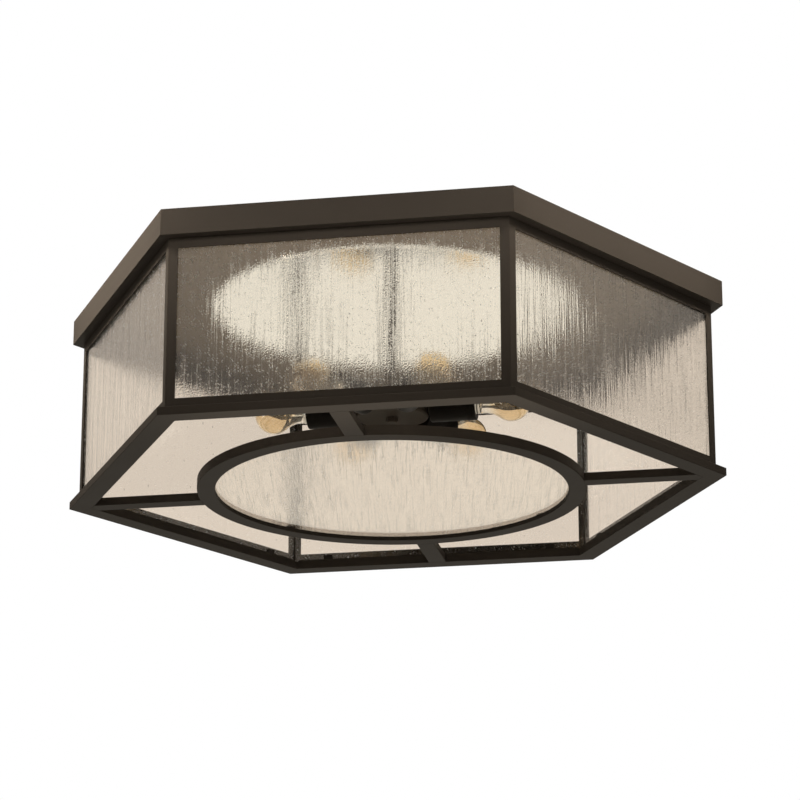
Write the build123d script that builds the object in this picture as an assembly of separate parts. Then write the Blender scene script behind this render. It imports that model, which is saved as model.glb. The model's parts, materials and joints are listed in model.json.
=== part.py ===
from build123d import *
import os
from math import cos, radians, sqrt, tan

# Hexagonal flush mount ceiling light with seeded glass and a cluster of six lamps.
# Millimetres. The origin is the centre of the ceiling face, +Z points up into the ceiling,
# and the light hangs below it. Two corners of the hexagon lie on the X axis.

SIDES = 6

# Overall
FIXTURE_HEIGHT = 248.0
EDGE_ROUND = 0.8

# Bottom frame of flat bars
BASE_FLATS = 704.0
BASE_BAR_WIDTH = 25.0
BASE_BAR_THICKNESS = 10.0
SPOKE_WIDTH = 22.5
SPOKE_THICKNESS = 10.0

# Cage of angle bars that stands on the bottom frame
CAGE_SETBACK = 10.5
POST_LEG = 11.0
RAIL_LEG = 12.5
ANGLE_SHELF = 14.0
ANGLE_SHEET = 1.6
ANGLE_ROUND = 0.4

# Canopy pan, a folded tray that lies against the ceiling
PAN_OVERHANG = 12.5
PAN_DEPTH = 32.0
PAN_SHEET = 1.2
PAN_BEND = 1.4
PAN_LIP_MARGIN = 3.0
WIRE_HOLE_D = 16.0

# Screws that hold the cage up to the lip of the pan
PAN_SCREW_D = 3.0
PAN_SCREW_FIT = 0.05
PAN_SCREW_HEAD_D = 5.2
PAN_SCREW_HEAD = 2.0
PAN_SCREW_POINT = 3.0
PAN_SCREW_SPACING = 200.0

# Ceiling box screws and the plate that stiffens the pan around them
BOX_SCREW_SPACING = 88.9
BOX_SCREW_HOLE_D = 5.4
PLATE_END = 20.0
PLATE_WIDTH = 50.0
PLATE_SHEET = 2.5
PLATE_CORNER = 6.0
BOSS_WALL = 4.2

# Side glass and its spring clips
GLASS = 3.0
GLASS_BEDDING = 0.3
GLASS_CORNER_GAP = 1.0
GLASS_TOP_GAP = 1.0
CLIP_SHEET = 0.8
CLIP_HEIGHT = 8.0
CLIP_LENGTH = 12.0
CLIP_MARGIN = 3.0
CLIP_INSET = 45.0

# Round glass in its ring
RING_OUTER_D = 474.0
RING_WIDTH = 22.0
RING_HEIGHT = 12.0
RING_LEDGE = 5.0
RING_HOOP = 3.0
DISC_GLASS = 3.0
DISC_GAP = 1.0
DISC_CLIPS = 4
DISC_CLIP_REACH = 10.0

# Polished reflector under the pan
REFLECTOR_D = 442.0
REFLECTOR_DROP = 12.0
REFLECTOR_SHEET = 0.8
REFLECTOR_BEND = 3.0

# Stem
PIPE_WALL = 1.6
PIPE_FIT = 0.05
STEM_WALL = 0.85
STEM_LENGTH = 115.0
LOCK_NUT = 3.0
LOCK_NUT_WALL = 2.15
CAP_NUT_WALL = 1.65
CAP_NUT_HEX = 5.0
CAP_NUT_DOME = 1.5
CAP_NUT_ROUND = 1.3
CAP_NUT_DEPTH = 3.5

# Hub of the lamp cluster
HUB_D = 90.0
HUB_SHEET = 1.5
HUB_BEND = 3.0
HUB_TOP_TO_AXIS = 13.0
HUB_AXIS_TO_RIM = 7.0
HUB_COVER_DEPTH = 5.0

# Lampholders, screwed onto short pipes around the hub
SOCKET_GAP = 3.5
SOCKET_WALL = 6.35
SOCKET_LENGTH = 56.0
SOCKET_DEPTH = 23.5
SOCKET_ROUND = 0.5
ARM_GRIP = 12.0
ARM_INSIDE = 7.0
SHELL_SHEET = 0.4
SHELL_FIT = 0.05
SHELL_SETBACK = 1.0
SHELL_HOLE_D = 13.0
CONTACT_D = 9.0
CONTACT_THICKNESS = 1.5

# Wiring inside the stem and the hub
LEAD_D = 2.0
LEAD_SPACE = 0.6
LEAD_FIT = 0.4
LEAD_SLACK = 1.8
LEAD_BEND = 2.0
TERMINAL_RING_D = 28.0

# Screw-cap lamps
LAMP_LENGTH = 88.9
LAMP_GLOBE_D = 47.6
LAMP_NECK_FIT = 0.3
LAMP_NECK_CURVE = 30.0
LAMP_GLASS = 0.8
CAP_D = 26.0
CAP_LENGTH = 26.7
CAP_SHEET = 0.5
CAP_CLEARANCE = 0.2
CAP_TIP_GAP = 0.3
CAP_SHOULDER = 2.7
CAP_FLOOR = 1.0
EYELET_D = 8.4
EYELET_HEIGHT = 1.5
INSULATOR_HEIGHT = 3.0
INSULATOR_TOP_D = 19.0
NECK_IN_CAP = 6.5
FLARE = 1.5
LAMP_STEM_D = 6.0
LAMP_STEM_LENGTH = 24.5
EXHAUST_D = 1.4
FILAMENT_D = 0.8
FILAMENT_ROOT = 3.4
FILAMENT_SPAN = 16.0
FILAMENT_STRAIGHT = 4.0
FILAMENT_HEIGHT = 16.0
FILAMENT_BEND = 1.5

# Half widths of the hexagons, from the axis to a flat
base_apothem = BASE_FLATS / 2
base_inner_apothem = base_apothem - BASE_BAR_WIDTH
cage_apothem = base_apothem - CAGE_SETBACK
pan_apothem = cage_apothem + PAN_OVERHANG
shelf_edge = cage_apothem - ANGLE_SHELF
lip_edge = shelf_edge - PAN_LIP_MARGIN
glass_outer = cage_apothem - ANGLE_SHEET - GLASS_BEDDING
glass_inner = glass_outer - GLASS
screw_line = (glass_inner + shelf_edge) / 2

# Heights
base_bottom = -FIXTURE_HEIGHT
base_top = base_bottom + BASE_BAR_THICKNESS
lip_bottom = -PAN_DEPTH
pan_underside = -PAN_SHEET
plate_bottom = pan_underside - PLATE_SHEET
reflector_bottom = -REFLECTOR_DROP
reflector_top = reflector_bottom + REFLECTOR_SHEET
hub_top = reflector_bottom - STEM_LENGTH
lamp_axis = hub_top - HUB_TOP_TO_AXIS
hub_rim = lamp_axis - HUB_AXIS_TO_RIM
cover_bottom = hub_rim - HUB_COVER_DEPTH
cover_inside = cover_bottom + HUB_SHEET
ring_top = base_bottom + RING_HEIGHT
disc_bottom = base_bottom + RING_LEDGE
disc_top = disc_bottom + DISC_GLASS
glass_bottom = base_top + ANGLE_SHEET
glass_top = lip_bottom - ANGLE_SHEET - GLASS_TOP_GAP

# Radii about the vertical axis
ring_outer = RING_OUTER_D / 2
ring_inner = ring_outer - RING_WIDTH
hoop_inner = ring_outer - RING_HOOP
hub_radius = HUB_D / 2
lead_pitch = LEAD_D + LEAD_SPACE
bore_radius = (lead_pitch + LEAD_D + LEAD_SLACK) / 2
pipe_radius = bore_radius + PIPE_WALL
pipe_hole = pipe_radius + PIPE_FIT
lock_nut_apothem = pipe_hole + LOCK_NUT_WALL
cap_nut_apothem = pipe_hole + CAP_NUT_WALL

# Distances out along a lamp's own axis
socket_back = hub_radius + SOCKET_GAP
socket_mouth = socket_back + SOCKET_LENGTH
socket_floor = socket_mouth - SOCKET_DEPTH
eyelet_start = socket_floor + CONTACT_THICKNESS + CAP_TIP_GAP
insulator_start = eyelet_start + EYELET_HEIGHT
shoulder_start = insulator_start + INSULATOR_HEIGHT
barrel_start = shoulder_start + CAP_SHOULDER
cap_end = eyelet_start + CAP_LENGTH
neck_start = cap_end - NECK_IN_CAP
lamp_tip = eyelet_start + LAMP_LENGTH
globe_centre = lamp_tip - LAMP_GLOBE_D / 2
lamp_stem_tip = neck_start + LAMP_STEM_LENGTH
cap_radius = CAP_D / 2
shell_inner = cap_radius + CAP_CLEARANCE
shell_outer = shell_inner + SHELL_SHEET
socket_bore = shell_outer + SHELL_FIT
socket_radius = socket_bore + SOCKET_WALL
neck_radius = cap_radius - CAP_SHEET - LAMP_NECK_FIT


def hexagon_prism(apothem, low, high):
    """Upright hexagon with two corners on the X axis, between two heights."""
    outline = RegularPolygon(radius=apothem, side_count=SIDES, major_radius=False)
    return Pos(0, 0, low) * extrude(outline, amount=high - low)


def rod(radius, low, high):
    """Upright round bar between two heights."""
    return Pos(0, 0, low) * extrude(Circle(radius), amount=high - low)


def tube(outer, inner, low, high):
    """Upright tube between two heights."""
    return rod(outer, low, high) - rod(inner, low, high)


def block(x_range, y_range, z_range):
    """Box between a low and a high value on each axis."""
    spans = [x_range, y_range, z_range]
    middle = [(low + high) / 2 for low, high in spans]
    size = [high - low for low, high in spans]
    return Pos(*middle) * Box(*size)


def turned(piece, count=SIDES):
    """Copies of a piece, spread evenly about the vertical axis."""
    return [Rot(0, 0, step * 360 / count) * piece for step in range(count)]


def out_along_lamp(piece):
    """Lay a piece that was made along +Z out along +X at the height of the lamps."""
    return Pos(0, 0, lamp_axis) * Rot(0, 90, 0) * piece


def lathe(points):
    """Solid of revolution about Z from a closed outline of (radius, height) points."""
    outline = Plane.XZ * make_face(Polyline(*points, close=True))
    return revolve(outline, axis=Axis.Z)


def top_pan():
    """Folded hexagon tray with a return lip, a wire hole and the ceiling box screw holes."""
    shell = hexagon_prism(pan_apothem, lip_bottom, 0)
    shell = fillet(shell.edges().group_by(Axis.Z)[-1], PAN_BEND)
    shell -= hexagon_prism(pan_apothem - PAN_SHEET, lip_bottom + PAN_SHEET, pan_underside)
    shell -= hexagon_prism(lip_edge, lip_bottom, lip_bottom + PAN_SHEET)
    shell -= rod(WIRE_HOLE_D / 2, pan_underside, 0)
    for x in (-BOX_SCREW_SPACING / 2, BOX_SCREW_SPACING / 2):
        shell -= Pos(x, 0, 0) * rod(BOX_SCREW_HOLE_D / 2, pan_underside, 0)
    screw_hole = rod(PAN_SCREW_D / 2 + PAN_SCREW_FIT, lip_bottom, lip_bottom + PAN_SHEET)
    for hole in pan_screw_places(screw_hole):
        shell -= hole
    return shell


def pan_screw_places(piece):
    """Copies of a piece on every pan screw's line, two to a side."""
    pair = [Pos(x, screw_line, 0) * piece for x in (-PAN_SCREW_SPACING / 2, PAN_SCREW_SPACING / 2)]
    return [copy for one in pair for copy in turned(one)]


def pan_screws():
    """Pan head screws up through the rails into the lip."""
    rail_face = lip_bottom - ANGLE_SHEET
    head = rod(PAN_SCREW_HEAD_D / 2, rail_face - PAN_SCREW_HEAD, rail_face)
    head = fillet(head.edges().group_by(Axis.Z)[0], PAN_SCREW_HEAD / 2)
    shank = rod(PAN_SCREW_D / 2, rail_face, lip_bottom + PAN_SHEET + PAN_SCREW_POINT)
    return pan_screw_places(head + shank)


def mounting_plate():
    """Stiffening plate under the pan, with a welded boss that holds the threaded pipe."""
    length = BOX_SCREW_SPACING + 2 * PLATE_END
    outline = RectangleRounded(length, PLATE_WIDTH, PLATE_CORNER)
    plate = Pos(0, 0, plate_bottom) * extrude(outline, amount=PLATE_SHEET)
    plate += rod(pipe_hole + BOSS_WALL, reflector_top, plate_bottom)
    plate -= rod(pipe_hole, reflector_top, pan_underside)
    for x in (-BOX_SCREW_SPACING / 2, BOX_SCREW_SPACING / 2):
        plate -= Pos(x, 0, 0) * rod(BOX_SCREW_HOLE_D / 2, plate_bottom, pan_underside)
    return plate


def reflector_dish():
    """Shallow polished dish, its rim turned up against the pan."""
    radius = REFLECTOR_D / 2
    dish = rod(radius, reflector_bottom, pan_underside)
    dish = fillet(dish.edges().group_by(Axis.Z)[0], REFLECTOR_BEND)
    hollow = rod(radius - REFLECTOR_SHEET, reflector_top, pan_underside)
    hollow = fillet(hollow.edges().group_by(Axis.Z)[0], REFLECTOR_BEND - REFLECTOR_SHEET)
    return dish - hollow - rod(pipe_hole, reflector_bottom, reflector_top)


def threaded_pipe():
    """Hollow threaded pipe from the pan to the cap nut, with two side holes for the feed leads."""
    pipe = tube(pipe_radius, bore_radius, cover_bottom - CAP_NUT_DEPTH, pan_underside)
    return pipe - lead_passage()


def lead_passage():
    """Round passage along Y through the pipe and the terminal ring, for the feed leads."""
    half = TERMINAL_RING_D / 2
    passage = extrude(Plane.XZ * Circle((LEAD_D + LEAD_FIT) / 2), amount=half, both=True)
    return Pos(0, 0, lamp_axis) * passage


def stem_tube():
    """Cover tube over the threaded pipe, between the reflector and the hub."""
    return tube(pipe_hole + STEM_WALL, pipe_hole, hub_top, reflector_bottom)


def lock_nut(low, high):
    """Thin hexagon nut on a threaded pipe."""
    return hexagon_prism(lock_nut_apothem, low, high) - rod(pipe_hole, low, high)


def hub_body():
    """Inverted cup that carries the lampholder arms in six side holes."""
    cup = rod(hub_radius, hub_rim, hub_top)
    cup = fillet(cup.edges().group_by(Axis.Z)[-1], HUB_BEND)
    cup -= rod(hub_radius - HUB_SHEET, hub_rim, hub_top - HUB_SHEET)
    cup -= rod(pipe_hole, hub_top - HUB_SHEET, hub_top)
    side_hole = out_along_lamp(rod(pipe_hole, hub_radius - 2 * HUB_SHEET, hub_radius))
    for hole in turned(side_hole):
        cup -= hole
    return cup


def hub_cover():
    """Round-edged dish that closes the hub from below."""
    dish = rod(hub_radius, cover_bottom, hub_rim)
    dish = fillet(dish.edges().group_by(Axis.Z)[0], HUB_BEND)
    dish -= rod(hub_radius - HUB_SHEET, cover_inside, hub_rim)
    return dish - rod(pipe_hole, cover_bottom, cover_inside)


def hub_cap_nut():
    """Closed hexagon nut on the end of the pipe, under the hub."""
    hex_low = cover_bottom - CAP_NUT_HEX
    dome = rod(cap_nut_apothem, hex_low - CAP_NUT_DOME, hex_low)
    dome = fillet(dome.edges().group_by(Axis.Z)[0], CAP_NUT_ROUND)
    nut = hexagon_prism(cap_nut_apothem, hex_low, cover_bottom) + dome
    return nut - rod(pipe_hole, cover_bottom - CAP_NUT_DEPTH, cover_bottom)


def terminal_span():
    """Lowest and highest point of the terminal ring, between the two nuts in the hub."""
    return cover_inside + LOCK_NUT, hub_top - HUB_SHEET - LOCK_NUT


def terminal_ring():
    """Insulating ring on the pipe, where the lamp leads meet the feed leads."""
    return tube(TERMINAL_RING_D / 2, pipe_hole, *terminal_span()) - lead_passage()


def lock_nuts():
    """Two nuts on the pipe inside the hub, and one on each side of the hub wall on every arm."""
    low, high = terminal_span()
    nuts = [lock_nut(cover_inside, low), lock_nut(high, hub_top - HUB_SHEET)]
    corner = lock_nut_apothem / cos(radians(30))
    seat = sqrt((hub_radius - HUB_SHEET) ** 2 - corner**2)
    inner = lock_nut(seat - LOCK_NUT, seat)
    outer = lock_nut(hub_radius, socket_back)
    return nuts + turned(out_along_lamp(inner)) + turned(out_along_lamp(outer))


def socket_arms():
    """Short threaded pipes from the hub into the backs of the lampholders."""
    start = hub_radius - ARM_INSIDE
    return turned(out_along_lamp(tube(pipe_radius, bore_radius, start, socket_back + ARM_GRIP)))


def leads():
    """A pair of leads in each arm, and the feed pair down the stem."""
    wire = rod(LEAD_D / 2, TERMINAL_RING_D / 2, socket_floor)
    pair = [Pos(0, y, 0) * wire for y in (-lead_pitch / 2, lead_pitch / 2)]
    wires = [copy for one in pair for copy in turned(out_along_lamp(one))]
    route = FilletPolyline(
        (0, lead_pitch / 2, pan_underside),
        (0, lead_pitch / 2, lamp_axis),
        (0, TERMINAL_RING_D / 2, lamp_axis),
        radius=LEAD_BEND,
    )
    feed = sweep(Plane(origin=route @ 0, z_dir=route % 0) * Circle(LEAD_D / 2), path=route)
    return wires + turned(feed, 2)


def lampholder():
    """Insulating lampholder: a deep cup with a threaded back and a passage for the leads."""
    body = rod(socket_radius, socket_back, socket_mouth)
    body = fillet(body.edges().filter_by(GeomType.CIRCLE), SOCKET_ROUND)
    body -= rod(socket_bore, socket_floor, socket_mouth)
    body -= rod(pipe_hole, socket_back, socket_back + ARM_GRIP)
    body -= rod((lead_pitch + LEAD_D + LEAD_FIT) / 2, socket_back + ARM_GRIP, socket_floor)
    return out_along_lamp(body)


def screw_shell():
    """Thin metal cup that takes the lamp's thread."""
    end = socket_mouth - SHELL_SETBACK
    shell = rod(shell_outer, socket_floor, end)
    shell -= rod(shell_inner, socket_floor + SHELL_SHEET, end)
    shell -= rod(SHELL_HOLE_D / 2, socket_floor, socket_floor + SHELL_SHEET)
    return out_along_lamp(shell)


def socket_contact():
    """Centre contact on the floor of the lampholder."""
    return out_along_lamp(rod(CONTACT_D / 2, socket_floor, socket_floor + CONTACT_THICKNESS))


def lamp_contact():
    """Eyelet on the tip of the lamp's cap."""
    return out_along_lamp(rod(EYELET_D / 2, eyelet_start, insulator_start))


def lamp_cap():
    """Screw cap with its insulating tip, as a plain barrel on the thread's outer size."""
    inside = cap_radius - CAP_SHEET
    outline = [
        (0, insulator_start),
        (EYELET_D / 2, insulator_start),
        (INSULATOR_TOP_D / 2, shoulder_start),
        (cap_radius, barrel_start),
        (cap_radius, cap_end),
        (inside, cap_end),
        (inside, barrel_start + CAP_FLOOR),
        (0, barrel_start + CAP_FLOOR),
    ]
    return out_along_lamp(lathe(outline))


def bulb_form(globe, neck, curve, low):
    """Solid bulb: a straight neck that curves out, tangent, into a round globe.

    The centre of the hollow curve stands its own radius outside the neck, and as far from the
    globe's centre as the two radii together.
    """
    reach = sqrt((globe + curve) ** 2 - (neck + curve) ** 2)
    globe_middle = Vector(0, globe_centre)
    hollow_middle = Vector(neck + curve, globe_centre - reach)
    tip = globe_middle + Vector(0, globe)
    touch = hollow_middle + (globe_middle - hollow_middle).normalized() * curve
    neck_end = hollow_middle - Vector(curve, 0)
    hollow = hollow_middle + (neck_end + touch - hollow_middle * 2).normalized() * curve
    crown = globe_middle + (touch + tip - globe_middle * 2).normalized() * globe
    outline = [
        Line((0, low), (neck, low)),
        Line((neck, low), neck_end),
        ThreePointArc(neck_end, hollow, touch),
        ThreePointArc(touch, crown, tip),
        Line(tip, (0, low)),
    ]
    return revolve(Plane.XZ * make_face(outline), axis=Axis.Z)


def lamp_glass():
    """Blown bulb with its flare and stem, drilled through by the exhaust tube."""
    globe = LAMP_GLOBE_D / 2
    flare_top = neck_start + FLARE
    bulb = bulb_form(globe, neck_radius, LAMP_NECK_CURVE, neck_start)
    bulb -= bulb_form(
        globe - LAMP_GLASS, neck_radius - LAMP_GLASS, LAMP_NECK_CURVE + LAMP_GLASS, flare_top
    )
    bulb += rod(LAMP_STEM_D / 2, flare_top, lamp_stem_tip)
    return out_along_lamp(bulb - rod(EXHAUST_D / 2, neck_start, lamp_stem_tip))


def lamp_filament():
    """Lead-in wires and filament, one bent wire on the tip of the glass stem."""
    straight_end = lamp_stem_tip + FILAMENT_STRAIGHT
    top = lamp_stem_tip + FILAMENT_HEIGHT
    route = FilletPolyline(
        (0, -FILAMENT_ROOT / 2, lamp_stem_tip),
        (0, -FILAMENT_ROOT / 2, straight_end),
        (0, -FILAMENT_SPAN / 2, top),
        (0, FILAMENT_SPAN / 2, top),
        (0, FILAMENT_ROOT / 2, straight_end),
        (0, FILAMENT_ROOT / 2, lamp_stem_tip),
        radius=FILAMENT_BEND,
    )
    section = Plane(origin=route @ 0, z_dir=route % 0) * Circle(FILAMENT_D / 2)
    return out_along_lamp(sweep(section, path=route))


def base_rails():
    """Six flat bars, mitred into a hexagon."""
    low_half = base_inner_apothem * tan(radians(30))
    high_half = base_apothem * tan(radians(30))
    outline = Polyline(
        (-high_half, base_apothem),
        (high_half, base_apothem),
        (low_half, base_inner_apothem),
        (-low_half, base_inner_apothem),
        close=True,
    )
    bar = Pos(0, 0, base_bottom) * extrude(make_face(outline), amount=BASE_BAR_THICKNESS)
    return turned(fillet(bar.edges().filter_by(Axis.X), EDGE_ROUND))


def corner_posts():
    """Six bent angle posts, one inside each corner."""
    corner = Vector(cage_apothem / cos(radians(30)), 0)
    inner_corner = corner - Vector(ANGLE_SHEET / cos(radians(30)), 0)
    along = Vector(-0.5, cos(radians(30)))
    inward = Vector(-cos(radians(30)), -0.5)
    leg_end = corner + along * POST_LEG
    leg_inside = leg_end + inward * ANGLE_SHEET
    outline = Polyline(
        corner,
        leg_end,
        leg_inside,
        inner_corner,
        (leg_inside.X, -leg_inside.Y),
        (leg_end.X, -leg_end.Y),
        close=True,
    )
    post = Pos(0, 0, base_top) * extrude(make_face(outline), amount=lip_bottom - base_top)
    outer_edge = post.edges().filter_by(Axis.Z).sort_by(Axis.X)[-1]
    return turned(fillet(outer_edge, EDGE_ROUND))


def angle_rail(shelf_heights, leg_heights):
    """Angle bar between two posts: an upright leg outside and a level shelf inside."""
    half = cage_apothem * tan(radians(30)) - POST_LEG
    leg = block((-half, half), (cage_apothem - ANGLE_SHEET, cage_apothem), leg_heights)
    shelf = block((-half, half), (shelf_edge, cage_apothem), shelf_heights)
    rail = leg + shelf
    return fillet(rail.edges().filter_by(Axis.X).sort_by(Axis.Y)[-2:], ANGLE_ROUND)


def lower_rails():
    """Six angle bars on the bottom frame, with the glass standing on their shelves."""
    rail = angle_rail((base_top, base_top + ANGLE_SHEET), (base_top, base_top + RAIL_LEG))
    return turned(rail)


def upper_rails():
    """Six angle bars under the lip of the pan, drilled for the pan screws."""
    rail = angle_rail((lip_bottom - ANGLE_SHEET, lip_bottom), (lip_bottom - RAIL_LEG, lip_bottom))
    hole = rod(PAN_SCREW_D / 2 + PAN_SCREW_FIT, lip_bottom - ANGLE_SHEET, lip_bottom)
    for x in (-PAN_SCREW_SPACING / 2, PAN_SCREW_SPACING / 2):
        rail -= Pos(x, screw_line, 0) * hole
    return turned(rail)


def spokes():
    """Four flat bars from the ring: two to corners of the frame, two to the middles of bars."""
    half = SPOKE_WIDTH / 2
    corner = base_inner_apothem / cos(radians(30))
    shoulder = corner - half * tan(radians(30))
    outline = Polyline(
        (ring_inner, -half), (shoulder, -half), (corner, 0), (shoulder, half), (ring_inner, half), close=True
    )
    hole = rod(ring_outer, base_bottom, base_bottom + SPOKE_THICKNESS)
    long_bar = Pos(0, 0, base_bottom) * extrude(make_face(outline), amount=SPOKE_THICKNESS) - hole
    long_bar = fillet(long_bar.edges().filter_by(Axis.X), EDGE_ROUND)
    heights = (base_bottom, base_bottom + SPOKE_THICKNESS)
    short_bar = block((-half, half), (ring_inner, base_inner_apothem), heights) - hole
    short_bar = fillet(short_bar.edges().filter_by(Axis.Y), EDGE_ROUND)
    return turned(long_bar, 2) + turned(short_bar, 2)


def ring():
    """Ring of angle section, with a ledge under the round glass and a hoop around it."""
    band = tube(ring_outer, ring_inner, base_bottom, ring_top)
    band -= rod(hoop_inner, disc_bottom, ring_top)
    low_edges = band.edges().filter_by(GeomType.CIRCLE).group_by(Axis.Z)[0]
    return fillet(low_edges, EDGE_ROUND)


def glass_disc():
    """Round seeded glass that lies on the ring's ledge."""
    return rod(hoop_inner - DISC_GAP, disc_bottom, disc_top)


def glass_half_width():
    """Half the width of a side pane, which stops short of its neighbours at the corners."""
    return glass_inner * tan(radians(30)) - GLASS_CORNER_GAP


def glass_panel():
    """Flat seeded side pane, standing on the lower rail's shelf behind the angle legs."""
    half = glass_half_width()
    return block((-half, half), (glass_inner, glass_outer), (glass_bottom, glass_top))


def pane_clip(seat, way):
    """Bent clip on a rail's shelf that backs the glass; way is +1 upward or -1 downward."""
    foot_end = shelf_edge + CLIP_MARGIN
    half = CLIP_LENGTH / 2
    foot = sorted((seat, seat + way * CLIP_SHEET))
    tongue = sorted((seat, seat + way * CLIP_HEIGHT))
    clip = block((-half, half), (foot_end, glass_inner), foot)
    return clip + block((-half, half), (glass_inner - CLIP_SHEET, glass_inner), tongue)


def disc_clip():
    """Bent clip on the top of the hoop that holds the round glass down."""
    half = CLIP_LENGTH / 2
    start = hoop_inner - DISC_CLIP_REACH
    end = (hoop_inner + ring_outer) / 2
    clip = block((start, end), (-half, half), (ring_top, ring_top + CLIP_SHEET))
    return clip + block((start, start + CLIP_SHEET), (-half, half), (disc_top, ring_top))


def glass_clips():
    """Four clips behind each side pane, and four around the round glass."""
    offset = glass_half_width() - CLIP_INSET
    clips = []
    for x in (-offset, offset):
        clips += turned(Pos(x, 0, 0) * pane_clip(glass_bottom, 1))
        clips += turned(Pos(x, 0, 0) * pane_clip(lip_bottom - ANGLE_SHEET, -1))
    first = Rot(0, 0, 180 / DISC_CLIPS) * disc_clip()
    return clips + turned(first, DISC_CLIPS)


def write(name, pieces):
    """Write one named sub-part, as one solid or as a group of separate solids."""
    solids = [solid for piece in pieces for solid in piece.solids()]
    shape = solids[0] if len(solids) == 1 else Compound(solids)
    export_step(shape, f"parts/{name}.step")


def main():
    os.makedirs("parts", exist_ok=True)
    singles = [
        top_pan, mounting_plate, reflector_dish, threaded_pipe, stem_tube, hub_body, hub_cover,
        hub_cap_nut, terminal_ring, ring, glass_disc,
    ]
    for make in singles:
        write(make.__name__, [make()])
    groups = [
        pan_screws, lock_nuts, leads, socket_arms, base_rails, corner_posts, lower_rails,
        upper_rails, spokes, glass_clips,
    ]
    for make in groups:
        write(make.__name__, make())
    write("screw_shells", turned(screw_shell()))
    write("socket_contacts", turned(socket_contact()))
    for make in (glass_panel, lampholder):
        for number, copy in enumerate(turned(make()), start=1):
            write(f"{make.__name__}_{number}", [copy])
    for make in (lamp_contact, lamp_cap, lamp_glass, lamp_filament):
        piece = make.__name__.removeprefix("lamp_")
        for number, copy in enumerate(turned(make()), start=1):
            write(f"lamp_{number}_{piece}", [copy])


main()
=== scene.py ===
import json
from math import cos, pi, radians, sin, sqrt

import bpy
import numpy as np
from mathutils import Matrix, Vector


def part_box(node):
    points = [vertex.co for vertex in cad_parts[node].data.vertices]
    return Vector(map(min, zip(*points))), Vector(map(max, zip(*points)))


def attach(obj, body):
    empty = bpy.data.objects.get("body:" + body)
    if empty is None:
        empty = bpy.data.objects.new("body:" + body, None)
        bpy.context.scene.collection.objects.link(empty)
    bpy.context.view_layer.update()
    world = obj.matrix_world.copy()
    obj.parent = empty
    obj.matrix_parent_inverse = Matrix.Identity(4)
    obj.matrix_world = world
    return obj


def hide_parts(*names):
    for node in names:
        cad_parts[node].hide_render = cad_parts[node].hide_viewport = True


# Looks of a hexagonal flush mount ceiling light with seeded glass and six clear amber lamps.
# Metres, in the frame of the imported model: ceiling face at z = 0, the light hangs below it.

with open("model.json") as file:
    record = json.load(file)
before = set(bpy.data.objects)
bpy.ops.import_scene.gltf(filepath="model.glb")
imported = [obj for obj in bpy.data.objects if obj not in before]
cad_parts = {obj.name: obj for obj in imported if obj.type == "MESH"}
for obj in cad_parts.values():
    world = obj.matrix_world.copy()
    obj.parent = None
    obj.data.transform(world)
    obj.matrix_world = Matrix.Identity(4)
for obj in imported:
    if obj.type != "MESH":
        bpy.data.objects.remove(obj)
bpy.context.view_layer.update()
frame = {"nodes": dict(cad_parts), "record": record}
nodes = frame["nodes"]

SIDES = 6
MM = 0.001

# Camera, fitted to the corners of the hexagon
CAMERA_PLACE = (0.6667, -3.5955, -1.3231)
CAMERA_AZIMUTH = radians(-10.352)
CAMERA_ELEVATION = radians(18.085)
CAMERA_LENS = 140.925
CAMERA_REACH = 200.0

# Stage
FLOOR_DROP = 5.0
FLOOR_HALF = 60.0
FLOOR_COLOUR = (0.60, 0.57, 0.53, 1.0)
FLOOR_SEEN = (0.98, 0.93, 0.82, 1.0)
FLOOR_SHARE = 0.93
FLOOR_BOUNCE = 0.25
WHITE = (1.0, 1.0, 1.0, 1.0)
BACKDROP_SEEN = (0.75, 0.653, 0.552, 1.0)
AMBIENT = (0.055, 0.050, 0.045, 1.0)

# Lights: strips with a grid for the paint, soft boxes that show in the glass and the lamps.
# Each has its name, place, aim, size in metres and power in watts, and a strip has its grid's angle.
LIGHT_COLOUR = (1.0, 0.95, 0.88)
LIGHT_AIM = (0.0, 0.0, -0.12)
LOW_STRIP = (0.9, 0.12)
LOW_SPREAD = radians(90)
NEAR_STRIP = (0.6, 0.1)
NEAR_SPREAD = radians(100)
SIDE_STRIP = (0.48, 0.1)
SIDE_SPREAD = radians(60)
STRIPS = (
    ("low_strip", (0.28, -0.35, -0.42), (0.28, -0.35, 0.0), LOW_STRIP, 0.36, LOW_SPREAD),
    ("near_strip", (0.0, -0.60, 0.03), (0.0, -0.35, -0.03), NEAR_STRIP, 0.39, NEAR_SPREAD),
    ("right_strip", (0.48, -0.277, 0.17), (0.307, -0.177, -0.02), SIDE_STRIP, 0.6, SIDE_SPREAD),
    ("left_strip", (-0.48, -0.277, 0.17), (-0.307, -0.177, -0.02), SIDE_STRIP, 0.95, SIDE_SPREAD),
)
SIDE_BOX = (0.8, 0.8)
TOP_BOX = (1.2, 1.2)
SOFT_BOXES = (
    ("left_soft_box", (-2.5, -1.45, -0.5), LIGHT_AIM, SIDE_BOX, 12.0),
    ("right_soft_box", (2.8, -0.5, -0.5), LIGHT_AIM, SIDE_BOX, 12.0),
    ("top_soft_box", (-0.1, -1.9, 1.5), LIGHT_AIM, TOP_BOX, 16.0),
)

# Meshes
WELD = 1e-7
SHARP_ANGLE = radians(38)

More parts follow.
